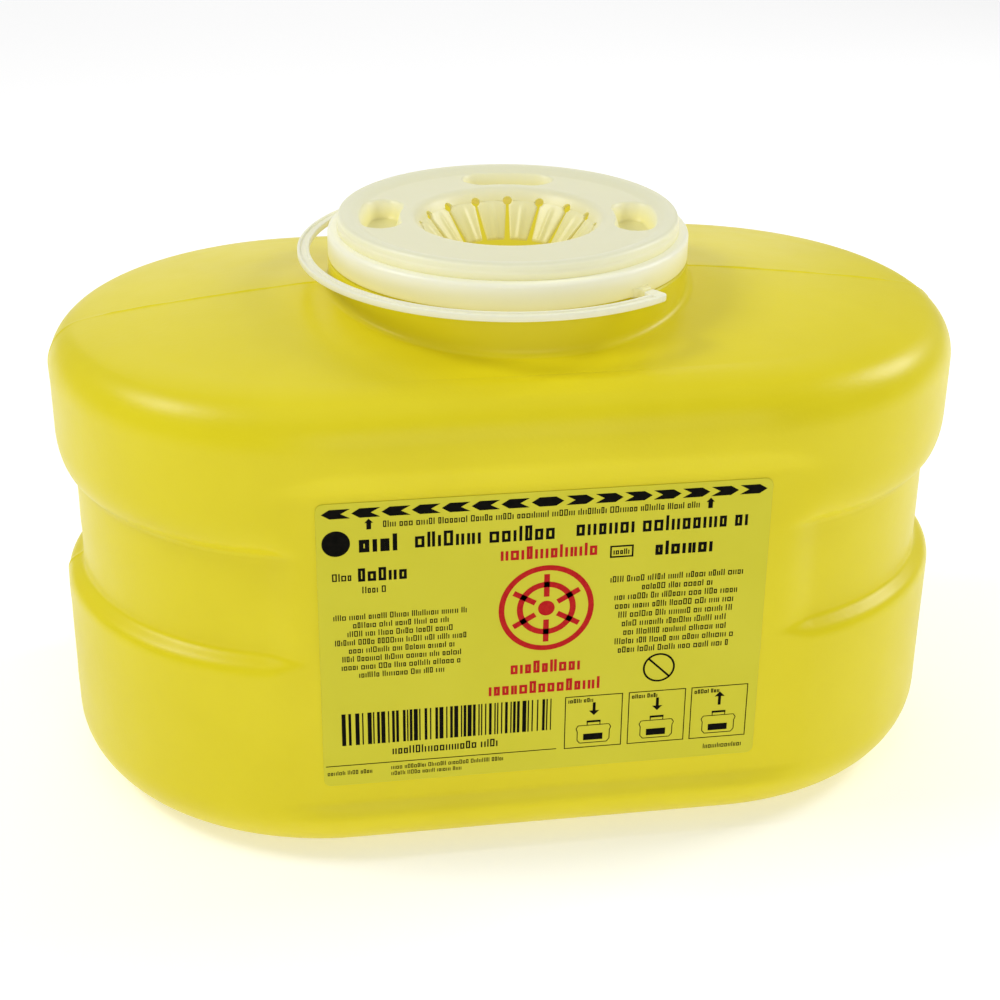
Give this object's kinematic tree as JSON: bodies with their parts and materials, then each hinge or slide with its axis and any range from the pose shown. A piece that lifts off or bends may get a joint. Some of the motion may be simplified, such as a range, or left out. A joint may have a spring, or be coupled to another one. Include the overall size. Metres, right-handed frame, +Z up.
{
  "type": "sharps container",
  "caption": "Oval-ended yellow plastic sharps container with a waist groove, front label, fingered funnel cap and a swinging carry handle.",
  "frame": {"origin": "middle of the base, on the plane the container stands on", "axes": "+Z up, +X along the container's length, labelled face towards -Y"},
  "size_m": [0.254, 0.15, 0.1586],
  "materials": {
    "yellow_body": "satin",
    "cap_plastic": "satin",
    "label_film": "semi-gloss"
  },
  "bodies": {
    "container": {"container_body": "yellow_body", "cap_collar": "cap_plastic", "funnel_disc": "cap_plastic", "front_label": "label_film"},
    "handle": {"carry_handle": "cap_plastic"},
    "petal_01": {"petal_01": "cap_plastic"},
    "petal_02": {"petal_02": "cap_plastic"},
    "petal_03": {"petal_03": "cap_plastic"},
    "petal_04": {"petal_04": "cap_plastic"},
    "petal_05": {"petal_05": "cap_plastic"},
    "petal_06": {"petal_06": "cap_plastic"},
    "petal_07": {"petal_07": "cap_plastic"},
    "petal_08": {"petal_08": "cap_plastic"},
    "petal_09": {"petal_09": "cap_plastic"},
    "petal_10": {"petal_10": "cap_plastic"},
    "petal_11": {"petal_11": "cap_plastic"},
    "petal_12": {"petal_12": "cap_plastic"},
    "petal_13": {"petal_13": "cap_plastic"},
    "petal_14": {"petal_14": "cap_plastic"},
    "petal_15": {"petal_15": "cap_plastic"},
    "petal_16": {"petal_16": "cap_plastic"}
  },
  "joints": [
    {"name": "handle_swing", "type": "hinge", "parent": "container", "child": "handle", "pos_m": [0, 0, 0.1481], "axis": [-0.5693, 0.8221, 0], "range_deg": [0, 180]},
    {"name": "petal_01_flex", "type": "hinge", "parent": "container", "child": "petal_01", "pos_m": [0.02398, 0.00094, 0.1537], "axis": [0.0393, -0.9992, 0], "range_deg": [0, 35], "stiffness_Nm_per_rad": 0.02},
    {"name": "petal_02_flex", "type": "hinge", "parent": "container", "child": "petal_02", "pos_m": [0.02179, 0.01005, 0.1537], "axis": [0.4187, -0.9081, 0], "range_deg": [0, 35], "stiffness_Nm_per_rad": 0.02},
    {"name": "petal_03_flex", "type": "hinge", "parent": "container", "child": "petal_03", "pos_m": [0.01629, 0.01762, 0.1537], "axis": [0.7343, -0.6788, 0], "range_deg": [0, 35], "stiffness_Nm_per_rad": 0.02},
    {"name": "petal_04_flex", "type": "hinge", "parent": "container", "child": "petal_04", "pos_m": [0.00831, 0.02252, 0.1537], "axis": [0.9382, -0.3461, 0], "range_deg": [0, 35], "stiffness_Nm_per_rad": 0.02},
    {"name": "petal_05_flex", "type": "hinge", "parent": "container", "child": "petal_05", "pos_m": [-0.00094, 0.02398, 0.1537], "axis": [0.9992, 0.0393, 0], "range_deg": [0, 35], "stiffness_Nm_per_rad": 0.02},
    {"name": "petal_06_flex", "type": "hinge", "parent": "container", "child": "petal_06", "pos_m": [-0.01005, 0.02179, 0.1537], "axis": [0.9081, 0.4187, 0], "range_deg": [0, 35], "stiffness_Nm_per_rad": 0.02},
    {"name": "petal_07_flex", "type": "hinge", "parent": "container", "child": "petal_07", "pos_m": [-0.01762, 0.01629, 0.1537], "axis": [0.6788, 0.7343, 0], "range_deg": [0, 35], "stiffness_Nm_per_rad": 0.02},
    {"name": "petal_08_flex", "type": "hinge", "parent": "container", "child": "petal_08", "pos_m": [-0.02252, 0.00831, 0.1537], "axis": [0.3461, 0.9382, 0], "range_deg": [0, 35], "stiffness_Nm_per_rad": 0.02},
    {"name": "petal_09_flex", "type": "hinge", "parent": "container", "child": "petal_09", "pos_m": [-0.02398, -0.00094, 0.1537], "axis": [-0.0393, 0.9992, 0], "range_deg": [0, 35], "stiffness_Nm_per_rad": 0.02},
    {"name": "petal_10_flex", "type": "hinge", "parent": "container", "child": "petal_10", "pos_m": [-0.02179, -0.01005, 0.1537], "axis": [-0.4187, 0.9081, 0], "range_deg": [0, 35], "stiffness_Nm_per_rad": 0.02},
    {"name": "petal_11_flex", "type": "hinge", "parent": "container", "child": "petal_11", "pos_m": [-0.01629, -0.01762, 0.1537], "axis": [-0.7343, 0.6788, 0], "range_deg": [0, 35], "stiffness_Nm_per_rad": 0.02},
    {"name": "petal_12_flex", "type": "hinge", "parent": "container", "child": "petal_12", "pos_m": [-0.00831, -0.02252, 0.1537], "axis": [-0.9382, 0.3461, 0], "range_deg": [0, 35], "stiffness_Nm_per_rad": 0.02},
    {"name": "petal_13_flex", "type": "hinge", "parent": "container", "child": "petal_13", "pos_m": [0.00094, -0.02398, 0.1537], "axis": [-0.9992, -0.0393, 0], "range_deg": [0, 35], "stiffness_Nm_per_rad": 0.02},
    {"name": "petal_14_flex", "type": "hinge", "parent": "container", "child": "petal_14", "pos_m": [0.01005, -0.02179, 0.1537], "axis": [-0.9081, -0.4187, 0], "range_deg": [0, 35], "stiffness_Nm_per_rad": 0.02},
    {"name": "petal_15_flex", "type": "hinge", "parent": "container", "child": "petal_15", "pos_m": [0.01762, -0.01629, 0.1537], "axis": [-0.6788, -0.7343, 0], "range_deg": [0, 35], "stiffness_Nm_per_rad": 0.02},
    {"name": "petal_16_flex", "type": "hinge", "parent": "container", "child": "petal_16", "pos_m": [0.02252, -0.00831, 0.1537], "axis": [-0.3461, -0.9382, 0], "range_deg": [0, 35], "stiffness_Nm_per_rad": 0.02}
  ]
}
